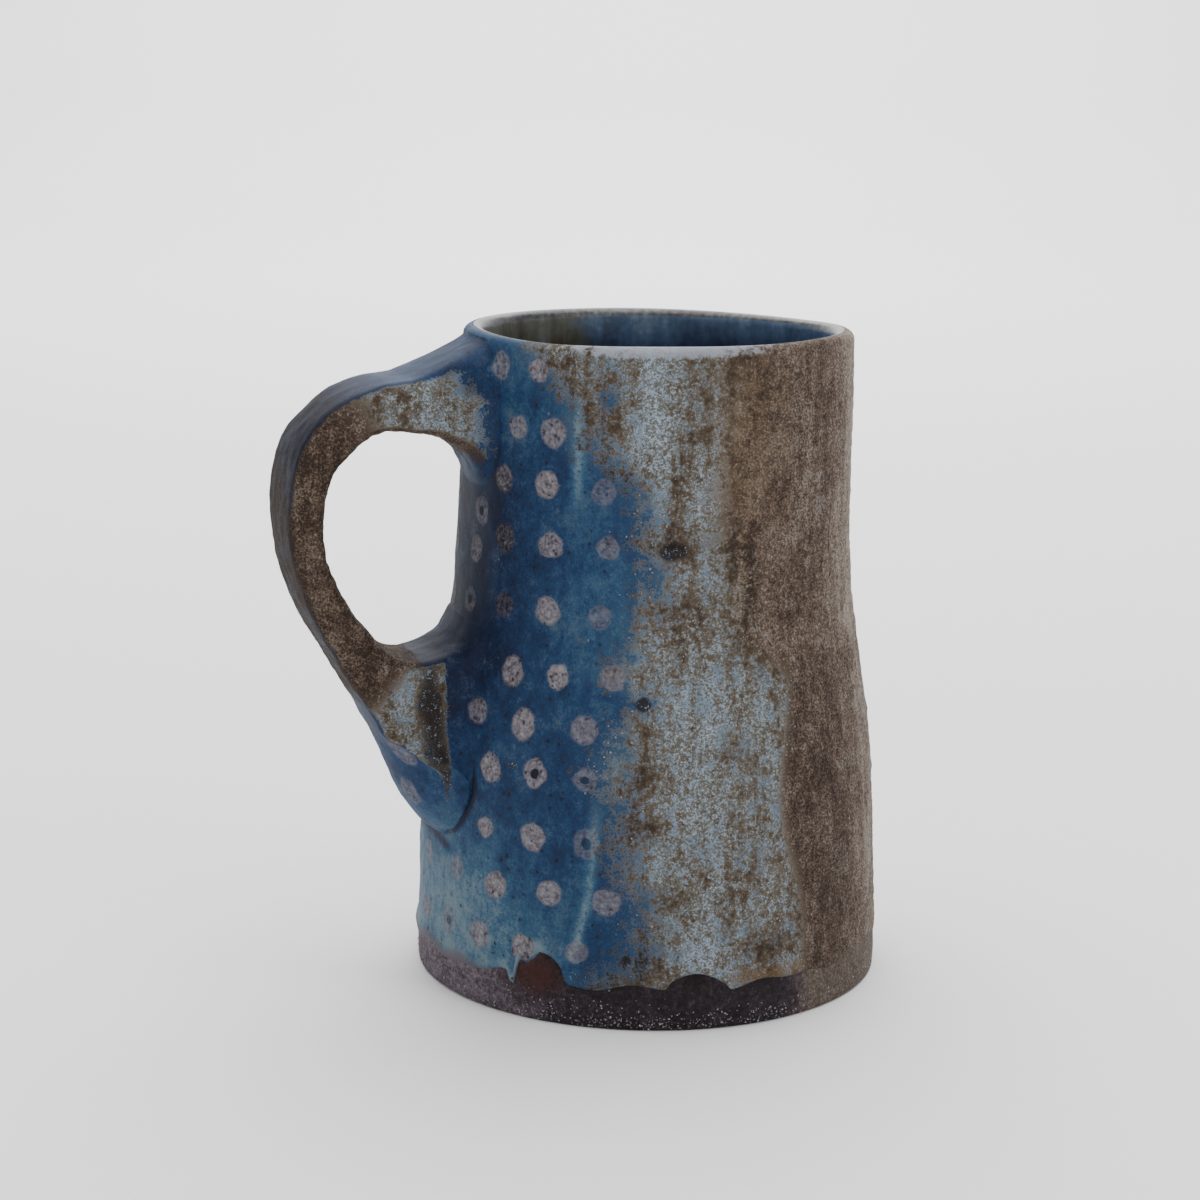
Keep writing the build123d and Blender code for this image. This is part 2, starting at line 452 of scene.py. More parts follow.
def fired_outside(tree):
    """Cobalt glaze, ash crust and flashed clay, each where its field lies, with ragged edges."""
    place = in_millimetres(tree)
    stretched = vector(tree, "MULTIPLY", place, (1.0, 1.0, 0.14))
    clouds = blotches(tree, place, 9.0, 5.0, 0.62)
    ragged = blotches(tree, place, 2.6, 5.0, 0.68)
    fine = blotches(tree, place, 0.9, 3.0, 0.75)
    grains = blotches(tree, place, 0.36, 2.0, 0.7)
    runs = blotches(tree, stretched, 2.2, 3.0)
    ash_value = shifted(tree, painted(tree, "pale"), (clouds, 0.5), (ragged, 0.6), (fine, 0.75), (runs, 0.5),
                        (grains, 0.8))
    ash = shades(tree, ash_value, ASH_SHADES)
    crystals = edge_at(tree, shifted(tree, ash_value, (grains, 2.0), (fine, 0.6)), 0.6, 0.84)
    ash = over(tree, crystals, ash, CRYSTALS, 0.74)
    brown_pits = edge_at(tree, shifted(tree, ash_value, (grains, -3.0), (ragged, 0.4)), 0.3, 0.06)
    ash = over(tree, brown_pits, ash, BROWN_PITS, 0.75)
    # The clay's lightness carries the painted light towards the far edge.
    clay_value = shifted(tree, painted(tree, "clay_tone_and_painted_light"), (clouds, 0.6), (ragged, 0.5), (fine, 1.0),
                         (grains, 1.7), (runs, 0.6))
    clay = shades(tree, clay_value, FLASHED_SHADES)
    flecks = edge_at(tree, shifted(tree, 0.4, (clouds, 1.3), (ragged, 1.0), (grains, 1.5)), 0.56, 0.86)
    clay = over(tree, flecks, clay, PALE_FLECKS, 0.5)
    blue_value = shifted(tree, painted(tree, "tone"), (clouds, 0.6), (ragged, 0.45), (fine, 0.4),
                         (grains, 0.4), (runs, 0.2))
    blue_value = calc(tree, "MULTIPLY_ADD", painted(tree, "run"), 0.36, blue_value)
    blue = shades(tree, blue_value, BLUE_SHADES)
    haze = edge_at(tree, shifted(tree, 0.44, (clouds, 1.1), (ragged, 1.2), (grains, 0.9)), 0.54, 0.9)
    blue = over(tree, haze, blue, BROWN_HAZE, 0.42)
    pits = node(tree, "ShaderNodeTexVoronoi", {"Vector": place, "Scale": 0.55, "Randomness": 1.0})
    pit = edge_at(tree, shifted(tree, pits.outputs["Distance"], (ragged, 0.7), (clouds, 0.5)), 0.17, 0.08)
    blue = over(tree, pit, blue, BLACK_PITS, 0.8)
    clay_field = shifted(tree, painted(tree, "clay"), (clouds, 0.7), (ragged, 0.8), (runs, 0.7), (fine, 0.8),
                         (grains, 1.2))
    clay_mask = edge_at(tree, clay_field, 0.38, 0.62)
    blue_field = shifted(tree, painted(tree, "blue"), (clouds, 1.0), (ragged, 1.3), (fine, 0.9),
                         (grains, 1.0))
    blue_mask = edge_at(tree, blue_field, 0.36, 0.6)
    tinted = edge_at(tree, shifted(tree, blue_field, (ragged, 0.5), (fine, 0.5), (grains, 0.9)), 0.08, 0.5)
    ash = over(tree, tinted, ash, PALE_BLUE, 0.62)
    colour = over(tree, clay_mask, ash, clay)
    rust_field = shifted(tree, painted(tree, "rust"), (ragged, 0.9), (fine, 0.7), (clouds, 0.5))
    rust_mask = edge_at(tree, rust_field, 0.25, 0.85)
    colour = over(tree, rust_mask, colour, RUST, 0.5)
    colour = over(tree, blue_mask, colour, blue)
    rim_field = shifted(tree, painted(tree, "rim"), (clouds, 0.7), (ragged, 1.2), (fine, 0.9))
    rim_mask = edge_at(tree, rim_field, 0.4, 0.85)
    colour = over(tree, rim_mask, colour, WHITE_RIM, 0.74)
    soot_field = shifted(tree, painted(tree, "soot"), (ragged, 0.9), (fine, 0.6), (grains, 0.5))
    soot_mask = edge_at(tree, soot_field, 0.36, 0.66)
    speck = edge_at(tree, shifted(tree, grains, (fine, 0.6)), 0.6, 0.7)
    soot = over(tree, speck, linear(*SOOT), CRYSTALS, 0.5)
    colour = over(tree, soot_mask, colour, soot, 0.86)
    worn_mask = edge_at(tree, shifted(tree, painted(tree, "worn"), (ragged, 0.6), (fine, 0.6)), 0.25, 0.75)
    colour = over(tree, worn_mask, colour, GREY_PURPLE, 0.85)
    roughness = calc(tree, "MULTIPLY_ADD", blue_mask, -0.2, 0.86)
    roughness = shifted(tree, roughness, (fine, 0.2))
    crust = calc(tree, "MULTIPLY", shifted(tree, 0.5, (fine, 0.9), (grains, 1.0)), 0.24)
    peel = calc(tree, "MULTIPLY", shifted(tree, 0.5, (fine, 1.0), (pit, -0.5)), 0.06)
    height = node(tree, "ShaderNodeMix", {0: blue_mask, 2: crust, 3: peel}, data_type="FLOAT").outputs[0]
    return colour, roughness, height


outside_material = finish_material("blue_and_ash", fired_outside)


# ---- The handle: strap, upper joint and lower joint --------------------------------------------------
# A flat strap of clay bent into a loop. Its top end is worked into the wall with soft clay that sweeps
# up to the lip, and its bottom end is pressed down the belly as a tongue wider than the strap.

# The strap's side profile as (distance out, height): its back, and its front towards the mug.
STRAP_BACK = (
    (46.0, 107.4), (52.5, 106.3), (59.2, 103.2), (65.1, 96.9), (67.3, 87.5), (66.9, 78.0), (63.5, 67.6),
    (58.8, 59.0), (55.4, 53.4), (53.2, 49.6), (51.6, 46.4), (50.2, 43.2), (49.0, 40.4), (47.9, 37.8),
    (46.8, 35.4), (45.6, 33.2), (44.2, 31.0), (42.6, 28.9), (41.0, 27.6), (39.4, 27.0),
)
STRAP_FRONT = (
    (44.6, 98.1), (50.0, 98.6), (55.0, 96.6), (59.6, 91.6), (61.2, 84.5), (60.6, 76.8), (57.4, 69.4),
    (52.9, 63.2), (49.6, 60.0), (46.4, 58.8), (43.2, 59.0), (40.3, 60.1), (37.7, 61.9), (35.8, 65.2),
    (34.0, 60.0), (35.0, 50.0), (36.6, 41.0), (38.0, 34.5), (38.6, 30.5), (38.8, 28.5),
)
STRAP_HALF_WIDTH = 9.3
STRAP_CORNER = 1.9
STRAP_RINGS = 200
JOINT_RINGS = 26
JOINT_MIDDLE = 101.0
JOINT_HALF_HEIGHT = 13.3
JOINT_HALF_WIDTH = 13.6
NECK_RADIUS = 34.6
LOWER_JOINT_FROM = 0.47
COVE = 5.0
# How many times wider than the strap the tongue is, at each height.
TONGUE_SPREAD = (
    (26.6, 0.2), (27.6, 0.7), (29.2, 1.08), (31.0, 1.28), (34.0, 1.46), (37.0, 1.58), (39.5, 1.5),
    (42.0, 1.3), (45.0, 1.1), (49.0, 1.0),
)


def drawn_through(points, steps):
    """A smooth curve through a few points, at even steps."""
    points = np.asarray(points, float).reshape(len(points), -1)
    ends = np.vstack([2 * points[0] - points[1], points, 2 * points[-1] - points[-2]])
    where = np.linspace(0.0, len(points) - 1 - 1e-9, steps)
    k = where.astype(int)
    t = (where - k)[:, None]
    a, b, c, d = ends[k], ends[k + 1], ends[k + 2], ends[k + 3]
    return 0.5 * (2 * b + (c - a) * t + (2 * a - 5 * b + 4 * c - d) * t**2 + (3 * b - a - 3 * c + d) * t**3)


def strap_outline(half_thick, half_wide, corner, per_corner=6, per_side=24):
    """Round the strap's section: (towards the back of the hand, across), with soft corners."""
    corner = min(corner, 0.96 * half_thick, 0.96 * half_wide)
    points = []
    for quarter in range(4):
        turned = quarter * math.pi / 2
        centre_b = (half_thick - corner) * (1, -1, -1, 1)[quarter]
        centre_a = (half_wide - corner) * (1, 1, -1, -1)[quarter]
        for k in range(per_corner):
            angle = turned + (k + 0.5) / per_corner * math.pi / 2
            points.append((centre_b + corner * math.cos(angle), centre_a + corner * math.sin(angle)))
        length_b = -2 * (half_thick - corner) * (1, 0, -1, 0)[quarter]
        length_a = -2 * (half_wide - corner) * (0, 1, 0, -1)[quarter]
        angle = turned + math.pi / 2
        start = (centre_b + corner * math.cos(angle), centre_a + corner * math.sin(angle))
        for k in range(per_side):
            share = (k + 0.5) / per_side
            points.append((start[0] + length_b * share, start[1] + length_a * share))
    return np.array(points)


def pressed_on(out, across, level):
    """The strap's lower end, spread into a domed tongue that follows the belly's curve."""
    radius = form_radius(level)
    proud = out - radius
    domed = soft_fall(level, 38.0, 47.0)
    share = np.abs(across) / STRAP_HALF_WIDTH
    short = np.clip(1.0 - (proud + 0.2) / COVE, 0.0, 1.0)
    cove = COVE * (1.0 - np.sqrt(1.0 - short**2)) * np.clip(share, 0.0, 1.0) ** 3 * (1.0 - domed)
    spread = across * np.interp(level, *np.array(TONGUE_SPREAD).T) + np.sign(across) * cove
    proud = np.where(proud > 0.0, proud * (1.0 - 0.96 * domed * np.clip(share, 0.0, 1.0) ** 2.4), proud)
    curve = radius - np.sqrt(np.maximum(radius**2 - spread**2, 1.0))
    follows = np.maximum(domed, 1.0 - soft_step(proud, 2.0, 9.0))
    return radius + proud - curve * follows, spread


def tongue_painted_shadow(around, level):
    """A painted shadow along the crease under and beside the tongue's edge."""
    across = np.abs(form_radius(level) * np.sin(np.radians(around)))
    half_wide = STRAP_HALF_WIDTH * np.interp(level, *np.array(TONGUE_SPREAD).T)
    beside = mound(across - half_wide, 0.4, 0.9) * soft_step(level, 27.0, 28.5)
    beside = beside * soft_fall(level, 48.0, 58.0)
    below = mound(level + 0.035 * across**2 / 2, 27.2, 0.8) * soft_fall(across, 8.0, 11.0)
    return np.maximum(beside, below) * (np.abs(around) < 60.0)


def tree_with(name, given, made):
    """An empty geometry tree with named inputs and one named output."""
    tree = bpy.data.node_groups.new(name, "GeometryNodeTree")
    for key, kind in given:
        tree.interface.new_socket(key, in_out="INPUT", socket_type="NodeSocket" + kind)
    tree.interface.new_socket(made, in_out="OUTPUT", socket_type="NodeSocketGeometry")
    return tree, tree.nodes.new("NodeGroupInput").outputs


def finished(tree, geometry, material):
    """Ends a tree: real geometry with its material on."""
    real = node(tree, "GeometryNodeRealizeInstances", {"Geometry": geometry})
    coated = node(tree, "GeometryNodeSetMaterial", {"Geometry": real.outputs[0], "Material": material})
    node(tree, "NodeGroupOutput", {0: coated.outputs[0]})


def kept_number(tree, name):
    """A number kept on the points, read in a geometry tree."""
    kept = node(tree, "GeometryNodeInputNamedAttribute", {"Name": name}, data_type="FLOAT")
    return kept.outputs["Attribute"]


def relief_tree():
    """Raises the crust in grains and lets the surface roll in soft waves, each as high as its number says."""
    tree, given = tree_with("fired_relief", (
        ("Piece", "Geometry"), ("Crust height", "Float"), ("Crust grain", "Float"), ("Wave height", "Float"),
        ("Wave length", "Float"), ("Seed", "Float"), ("Coat", "Material")), "Raised piece")
    place = node(tree, "GeometryNodeInputPosition").outputs[0]
    place = vector(tree, "ADD", place, given["Seed"])
    rise = 0.0
    for kept, height, length in (
            ("crusty", "Crust height", "Crust grain"), ("wavy", "Wave height", "Wave length")):
        noise = node(tree, "ShaderNodeTexNoise", {
            "Vector": place, "Scale": calc(tree, "DIVIDE", 1.0, given[length]), "Detail": 2.0})
        swing = calc(tree, "MULTIPLY", calc(tree, "SUBTRACT", noise.outputs["Fac"], 0.5), given[height])
        rise = calc(tree, "MULTIPLY_ADD", swing, kept_number(tree, kept), rise)
    normal = node(tree, "GeometryNodeInputNormal").outputs[0]
    moved = node(tree, "GeometryNodeSetPosition", {
        "Geometry": given["Piece"], "Offset": vector(tree, "SCALE", normal, rise)})
    finished(tree, moved.outputs[0], given["Coat"])
    return tree


def grown(piece, tree, **values):
    """Runs a tree on a piece and keeps what it makes as the piece's plain mesh."""
    sockets = {item.name: item.identifier for item in tree.interface.items_tree if item.in_out == "INPUT"}
    modifier = piece.modifiers.new(tree.name, "NODES")
    modifier.node_group = tree
    for key, value in values.items():
        modifier[sockets[key.replace("_", " ")]] = value
    bpy.context.view_layer.update()
    result = piece.evaluated_get(bpy.context.evaluated_depsgraph_get())
    mesh = bpy.data.meshes.new_from_object(result)
    piece.modifiers.clear()
    piece.data = mesh


fired_relief = relief_tree()
back = drawn_through(STRAP_BACK, STRAP_RINGS)
front = drawn_through(STRAP_FRONT, STRAP_RINGS)
rings = []
for k in range(STRAP_RINGS):
    middle = (back[k] + front[k]) / 2
    reach = back[k] - front[k]
    thick = np.linalg.norm(reach) / 2
    section = strap_outline(thick, STRAP_HALF_WIDTH, STRAP_CORNER)
    crown = 1.0 - (section[:, 1] / STRAP_HALF_WIDTH) ** 2
    push = section[:, 0] + (0.45 * crown - 0.2) * np.sign(section[:, 0])
    out, level = (middle[:, None] + reach[:, None] * push / 2 / thick)
    across = section[:, 1]
    if front[k][1] < 75.0:
        blended = soft_fall(front[k][1], 61.0, 70.0) if k < STRAP_RINGS * 0.5 else 1.0
        pressed_out, pressed_across = pressed_on(out, across, level)
        out = out + (pressed_out - out) * blended
        across = across + (pressed_across - across) * blended
    rings.append(np.stack([-out, -across, level], axis=-1))
root = rings[0]
outline = strap_outline(1.0, 1.0, 0.55)
landing_level = JOINT_MIDDLE + JOINT_HALF_HEIGHT * outline[:, 0]
landing_around = np.degrees(np.arcsin(JOINT_HALF_WIDTH * outline[:, 1] / NECK_RADIUS))
landing = on_wall(landing_around, landing_level, -0.22)
flare = []
for k in range(1, JOINT_RINGS + 1):
    share = k / JOINT_RINGS
    forward = math.sin(share * math.pi / 2)
    spread = 1 - math.cos(share * math.pi / 2)
    rise = np.where(outline[:, 0] > 0.5, 0.65 * share + 0.35 * forward, spread)
    flare.append(np.stack([root[:, 0] + (landing[:, 0] - root[:, 0]) * forward,
                           root[:, 1] + (landing[:, 1] - root[:, 1]) * spread,
                           root[:, 2] + (landing[:, 2] - root[:, 2]) * rise], axis=-1))
loop = np.array(flare[::-1] + rings)


def handle_coats(loop):
    """The coats on the handle: bare grey-brown sides with ash at both roots, and blue on its other faces."""
    around = np.degrees(np.arctan2(-loop[..., 1], -loop[..., 0]))
    level = loop[..., 2]
    out = -loop[..., 0]
    fields = coats(around, level)
    ring = np.arange(len(loop))[:, None]
    station = np.maximum((ring - JOINT_RINGS) / STRAP_RINGS * (len(STRAP_BACK) - 1), 0.0)
    landed = np.clip(1.0 - ring / JOINT_RINGS, 0.0, 1.0)
    sideways = np.abs(outline[:, 1])[None]
    inner_face = soft_step(-outline[:, 0], 0.7, 0.9)[None]
    corner_from = 0.7 - 0.26 * soft_fall(level, 38.0, 48.0)
    side_face = np.maximum(soft_step(sideways - corner_from, 0.0, 0.16), inner_face)
    web = soft_step(outline[:, 0], 0.1, 0.5)[None] * landed
    upper = side_face * (1.0 - soft_step(landed, 0.25, 1.0)) * (1.0 - soft_step(web, 0.0, 0.8))
    wedge = soft_step(out, 39.6, 41.4) * soft_step(level, 29.0, 32.0) * (1.0 - inner_face)
    lower = side_face * (1.0 - soft_step(station, 9.0, 10.0) * (1.0 - wedge))
    bare = np.where(station > 7.0, lower, upper)
    middle = soft_step(station, 0.3, 2.6) * soft_fall(station, 7.8, 9.6)
    fields["blue"] = (1.0 - bare) * (1.0 - 0.56 * middle * soft_step(station, 1.4, 4.0))
    fields["tone"] = np.where(station > 8.5, fields["tone"], 0.4 - 0.38 * middle)
    fields["pale"] = 0.52 - 0.16 * middle - 0.08 * soft_step(station, 9.0, 10.0) - 0.14 * inner_face
    fields["clay"] = np.clip(0.12 + 0.66 * middle + 0.6 * inner_face, 0.0, 1.0)
    fields["clay_tone_and_painted_light"] = 0.3 - 0.16 * middle * (1.0 - bare)
    dark_strip = mound(out - 0.12 * (level - 45.0), 42.6, 3.4) * soft_step(station, 8.0, 11.0)
    dark_strip = dark_strip * soft_step(level, 31.0, 36.0)
    fields["soot"] = 0.7 * dark_strip * soft_step(bare, 0.2, 0.6)
    fields["rust"] = 0.3 * middle + 0.3 * mound(level, 41.0, 1.6) * mound(out, 42.0, 1.5)
    for name in ("run", "rim", "worn"):
        fields[name] = np.zeros_like(level)
    return fields


def capped_length(name, rings):
    """A closed length of the strap, its two ends filled with fans."""
    count = rings.shape[1]
    faces = [face[::-1] for face in band_faces(len(rings), count, False)]
    middles = np.array([rings[0].mean(axis=0), rings[-1].mean(axis=0)])
    start_middle = len(rings) * count
    end_ring = start_middle - count
    for k in range(count):
        after = (k + 1) % count
        faces.append((start_middle, k, after))
        faces.append((start_middle + 1, end_ring + after, end_ring + k))
    piece = make_piece(name, np.vstack([rings.reshape(-1, 3), middles]), faces)
    piece.data.set_sharp_from_angle(angle=math.radians(60.0))
    return piece


lower_from = JOINT_RINGS + int(STRAP_RINGS * LOWER_JOINT_FROM)
handle_lengths = (
    ("upper_root", "handle_upper_joint", 0, JOINT_RINGS + 4),
    ("bent_strap", "handle_strap", JOINT_RINGS + 3, lower_from + 1),
    ("lower_tongue", "handle_lower_joint", lower_from, len(loop)),
)
loop_fields = handle_coats(loop)
handle_pieces = []
for name, node_name, first, last in handle_lengths:
    piece = capped_length(name, loop[first:last])
    from_end = np.minimum(np.arange(last - first), np.arange(last - first)[::-1])
    held = np.repeat(soft_step(from_end, 0.5, 5.0), loop.shape[1])
    kept = {key: values[first:last].ravel() for key, values in loop_fields.items()}
    kept.update(wavy=held, crusty=held * (1.0 - 0.8 * kept["blue"]))
    paint(piece, **{key: np.append(values, [0.0, 0.0]) for key, values in kept.items()})
    grown(piece, fired_relief, Crust_height=0.9 * MM, Crust_grain=2.0 * MM, Wave_height=1.1 * MM,
          Wave_length=11.0 * MM, Seed=0.3, Coat=outside_material)
    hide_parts(node_name)
    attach(piece, "root")
    handle_pieces.append(piece)


# ---- The outer glaze -------------------------------------------------------------------------------
# The coat on the outside, from the lip down to a thick line above the foot. It crawled back from the
# foot in two arches and ran down once beside them.


def lip_round_row(angle):
    """A row round the lip, from the outside over to the inside."""
    tilt = math.radians(angle)
    half = (COAT + WALL_AT_LIP + LINER_COAT) / 2
    return on_wall(AROUND, LIP - LIP_ROUND + LIP_ROUND * math.sin(tilt), half * (math.cos(tilt) - 1))


edge = glaze_edge(AROUND)
bare_side = soft_step(np.abs(AROUND), 104.0, 116.0)
steps_up = np.concatenate([[0.0, 0.25, 0.55, 0.9, 1.3, 1.8, 2.4], np.linspace(3.0, 100.0, 168)])
outer_rows = []
for step in steps_up:
    share = step / 100.0
    level = edge * (1 - share) + (LIP - LIP_ROUND) * share
    roll = 0.32 * mound(step, 0.9, 0.7)
    thin = -0.3 * math.exp(-step / 0.25)
    out = roll * (1 - bare_side) + thin - 0.12 * bare_side * math.exp(-step / 6.0)
    outer_rows.append(on_wall(AROUND, level, out))
outer_rows += [lip_round_row(angle) for angle in (18, 36, 54, 72, 90)]
outer_rows += [on_wall(AROUND, level, -0.6) for level in (LIP - 1.9, 92.0, 70.0, 50.0, 30.0)]
outer_rows += [on_wall(AROUND, edge + 1.0, -0.6), on_wall(AROUND, edge + 0.1, -0.6)]
outer_glaze = turned_piece("outer_coat", outer_rows)
levels = np.asarray(outer_rows)[..., 2]
fields = coats(np.broadcast_to(AROUND, levels.shape), levels)
# The blue is darkened along the tongue's edge by its painted shadow.
fields["tone"] = np.clip(fields["tone"] - 0.5 * tongue_painted_shadow(AROUND, levels), 0.0, 1.0)
outermost = np.arange(len(outer_rows))[:, None] < len(steps_up)
held = outermost * soft_fall(levels, LIP - 6.0, LIP - 3.5) * soft_step(levels - edge, 0.3, 2.0)
paint(outer_glaze, **fields, wavy=held, crusty=held * (1.0 - 0.85 * fields["blue"]))
grown(outer_glaze, fired_relief, Crust_height=0.75 * MM, Crust_grain=1.9 * MM, Wave_height=0.5 * MM,
      Wave_length=9.0 * MM, Seed=0.7, Coat=outside_material)
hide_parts("outer_glaze")
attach(outer_glaze, "root")


# ---- The liner glaze -------------------------------------------------------------------------------
# Glaze poured into the mug, turned round and poured out again, so that it coats the inside and the lip.
# It is grey-green with brown runs by the handle, and blue on the other side.

CORNER_FROM = 12.0
CORNER_ROUND = 6.2
GREEN_SHADES = ((0.1, (30, 26, 22)), (0.4, (68, 66, 58)), (0.7, (98, 100, 93)), (0.95, (130, 134, 132)))
INNER_BLUE_SHADES = ((0.1, (16, 20, 34)), (0.4, (44, 56, 82)), (0.7, (74, 92, 118)), (0.95, (116, 130, 146)))
LIP_SHADES = ((0.15, (46, 48, 56)), (0.5, (80, 80, 80)), (0.9, (120, 122, 126)))

liner_rows = [lip_round_row(angle) for angle in (90, 108, 126, 144, 162, 180)]
liner_rows += [on_wall(AROUND, z, inner_out(z) - LINER_COAT) for z in np.linspace(LIP - 2.2, CORNER_FROM, 90)]
for angle in (15, 30, 45, 60, 75, 90):
    tilt = math.radians(angle)
    out = inner_out(CORNER_FROM) - LINER_COAT - CORNER_ROUND * (1 - math.cos(tilt))
    liner_rows.append(on_wall(AROUND, CORNER_FROM - CORNER_ROUND * math.sin(tilt), out))
liner_rows += [liner_rows[-1] * np.array([share, share, 1.0]) for share in np.linspace(0.93, 0.05, 12)]
liner_rows += [liner_rows[-1] - np.array([0.0, 0.0, 0.25])]
under = [on_wall(AROUND, z, inner_out(z) + 0.05) for z in np.linspace(8.0, LIP - 2.2, 6)]
liner_rows += [under[0] * np.array([0.5, 0.5, 0.0]) + np.array([0, 0, FLOOR_TOP]), *under]
liner = turned_piece("poured_liner", liner_rows)


def poured_inside(tree):
    """A glossy grey-green glaze with brown runs that turns blue away from the handle."""
    place = in_millimetres(tree)
    stretched = vector(tree, "MULTIPLY", place, (1.0, 1.0, 0.16))
    clouds = blotches(tree, place, 12.0)
    runs = blotches(tree, stretched, 4.0, 4.0)
    fine = blotches(tree, place, 1.2, 3.0)
    # The glaze darkens deeper inside the mug: painted shade.
    green_value = shifted(tree, painted(tree, "shade"), (clouds, 0.5), (runs, 0.8), (fine, 0.3))
    green = shades(tree, green_value, GREEN_SHADES)
    blue_value = shifted(tree, painted(tree, "shade"), (clouds, 0.8), (runs, 0.5), (fine, 0.3))
    blue = shades(tree, blue_value, INNER_BLUE_SHADES)
    away_field = shifted(tree, painted(tree, "away"), (clouds, 0.7), (runs, 0.6), (fine, 0.3))
    away = edge_at(tree, away_field, 0.34, 0.66)
    colour = over(tree, away, green, blue)
    lip = edge_at(tree, shifted(tree, painted(tree, "lip"), (fine, 0.5)), 0.4, 0.6)
    rubbed = shades(tree, shifted(tree, 0.5, (clouds, 0.9), (fine, 1.0)), LIP_SHADES)
    colour = over(tree, lip, colour, rubbed)
    return colour, shifted(tree, 0.32, (fine, 0.2)), calc(tree, "MULTIPLY", fine, 0.06)


from_handle, _, liner_levels = np.moveaxis(np.asarray(liner_rows), -1, 0)
# Darker deeper inside the mug and lighter towards the lip: painted shade.
paint(liner, away=np.clip(0.5 + from_handle / 50.0, 0, 1), lip=soft_step(liner_levels, LIP - 1.9, LIP - 1.0),
      shade=0.24 + 0.42 * soft_step(liner_levels, LIP - 9.0, LIP - 1.5))
liner.data.materials.append(finish_material("poured_liner", poured_inside))
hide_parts("liner_glaze")
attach(liner, "root")


# ---- Grit and ash crumbs ----------------------------------------------------------------------------
# Sand from the clay stands out along the foot, and crumbs of melted ash sit on the crust. Both are grains
# a fraction of a millimetre across, half sunk in the surface that they lie on.


def crumb_tree():
    """Strews small irregular grains over a surface, as thickly as its number says."""
    tree, given = tree_with("strewn_grains", (
        ("Surface", "Geometry"), ("Grains per square metre", "Float"), ("Smallest", "Float"),
        ("Largest", "Float"), ("Seed", "Int"), ("Grain material", "Material")), "Grains")
    density = calc(tree, "MULTIPLY", kept_number(tree, "grains"), given["Grains per square metre"])
    points = node(tree, "GeometryNodeDistributePointsOnFaces", {
        "Mesh": given["Surface"], "Density": density, "Seed": given["Seed"]})
    grain = node(tree, "GeometryNodeMeshIcoSphere", {"Radius": 1.0, "Subdivisions": 1})
    size = node(tree, "FunctionNodeRandomValue", {
        2: given["Smallest"], 3: given["Largest"], "Seed": given["Seed"]})
    squash = node(tree, "FunctionNodeRandomValue", {0: (0.6, 0.6, 0.6), 1: (1.3, 1.3, 1.3), "Seed": 11},
                  data_type="FLOAT_VECTOR")
    turn = node(tree, "FunctionNodeRandomValue", {0: (0.0, 0.0, 0.0), 1: (6.28, 6.28, 6.28), "Seed": 5},
                data_type="FLOAT_VECTOR")
    strewn = node(tree, "GeometryNodeInstanceOnPoints", {
        "Points": points.outputs["Points"], "Instance": grain.outputs["Mesh"], "Rotation": turn.outputs[0],
        "Scale": vector(tree, "SCALE", squash.outputs[0], size.outputs[1])})
    finished(tree, strewn.outputs[0], given["Grain material"])
    return tree


def grain_material(name, dull, bright):
    """Melted grains, each lighter or darker than the next."""

    def melted(tree):
        place = in_millimetres(tree)
        broad = blotches(tree, place, 1.2, 1.0)
        tint = shifted(tree, 0.5, (broad, 2.4), (blotches(tree, place, 0.2, 1.0), 0.6))
        return shades(tree, tint, ((0.1, dull), (0.9, bright))), shifted(tree, 0.5, (tint, 0.2)), tint

    return finish_material(name, melted)


strewn_grains = crumb_tree()
on_foot = soft_step(wall_levels, 0.5, 0.9) * soft_fall(wall_levels, 5.0, 7.5)
on_foot = on_foot * (np.arange(len(wall_rows))[:, None] < bare_rows)
low_edge = mound(wall_levels, 1.2, 1.6) + 0.3 * mound(wall_levels, 4.5, 2.0) * mound(wall_side, 52.0, 20.0)
thick_span = 0.15 + 0.85 * soft_step(wall_side, 24.0, 40.0) * soft_fall(wall_side, 100.0, 118.0)
foot_grit = bpy.data.objects.new("foot_grit", wall.data.copy())
bpy.context.scene.collection.objects.link(foot_grit)
paint(foot_grit, grains=on_foot * low_edge * thick_span)
grown(foot_grit, strewn_grains, Grains_per_square_metre=2.4e6, Smallest=0.07 * MM, Largest=0.19 * MM, Seed=3,
      Grain_material=grain_material("sand_grains", (96, 90, 92), (190, 188, 194)))
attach(foot_grit, "root")

ash_crumbs = bpy.data.objects.new("ash_crumbs", outer_glaze.data.copy())
bpy.context.scene.collection.objects.link(ash_crumbs)
crumbly = held * (1.0 - fields["blue"]) * (1.0 - fields["clay"]) * soft_step(fields["pale"], 0.36, 0.62)
paint(ash_crumbs, grains=crumbly)
grown(ash_crumbs, strewn_grains, Grains_per_square_metre=9.0e5, Smallest=0.09 * MM, Largest=0.24 * MM, Seed=8,
      Grain_material=grain_material("ash_grains", (84, 86, 86), (164, 174, 186)))
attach(ash_crumbs, "root")


# ---- The slip dots ---------------------------------------------------------------------------------
# Rows of round dots of pale slip, dabbed on beside the handle before glazing. The glaze and the ash ran
# over them, so they are fainter where the coat is thick.

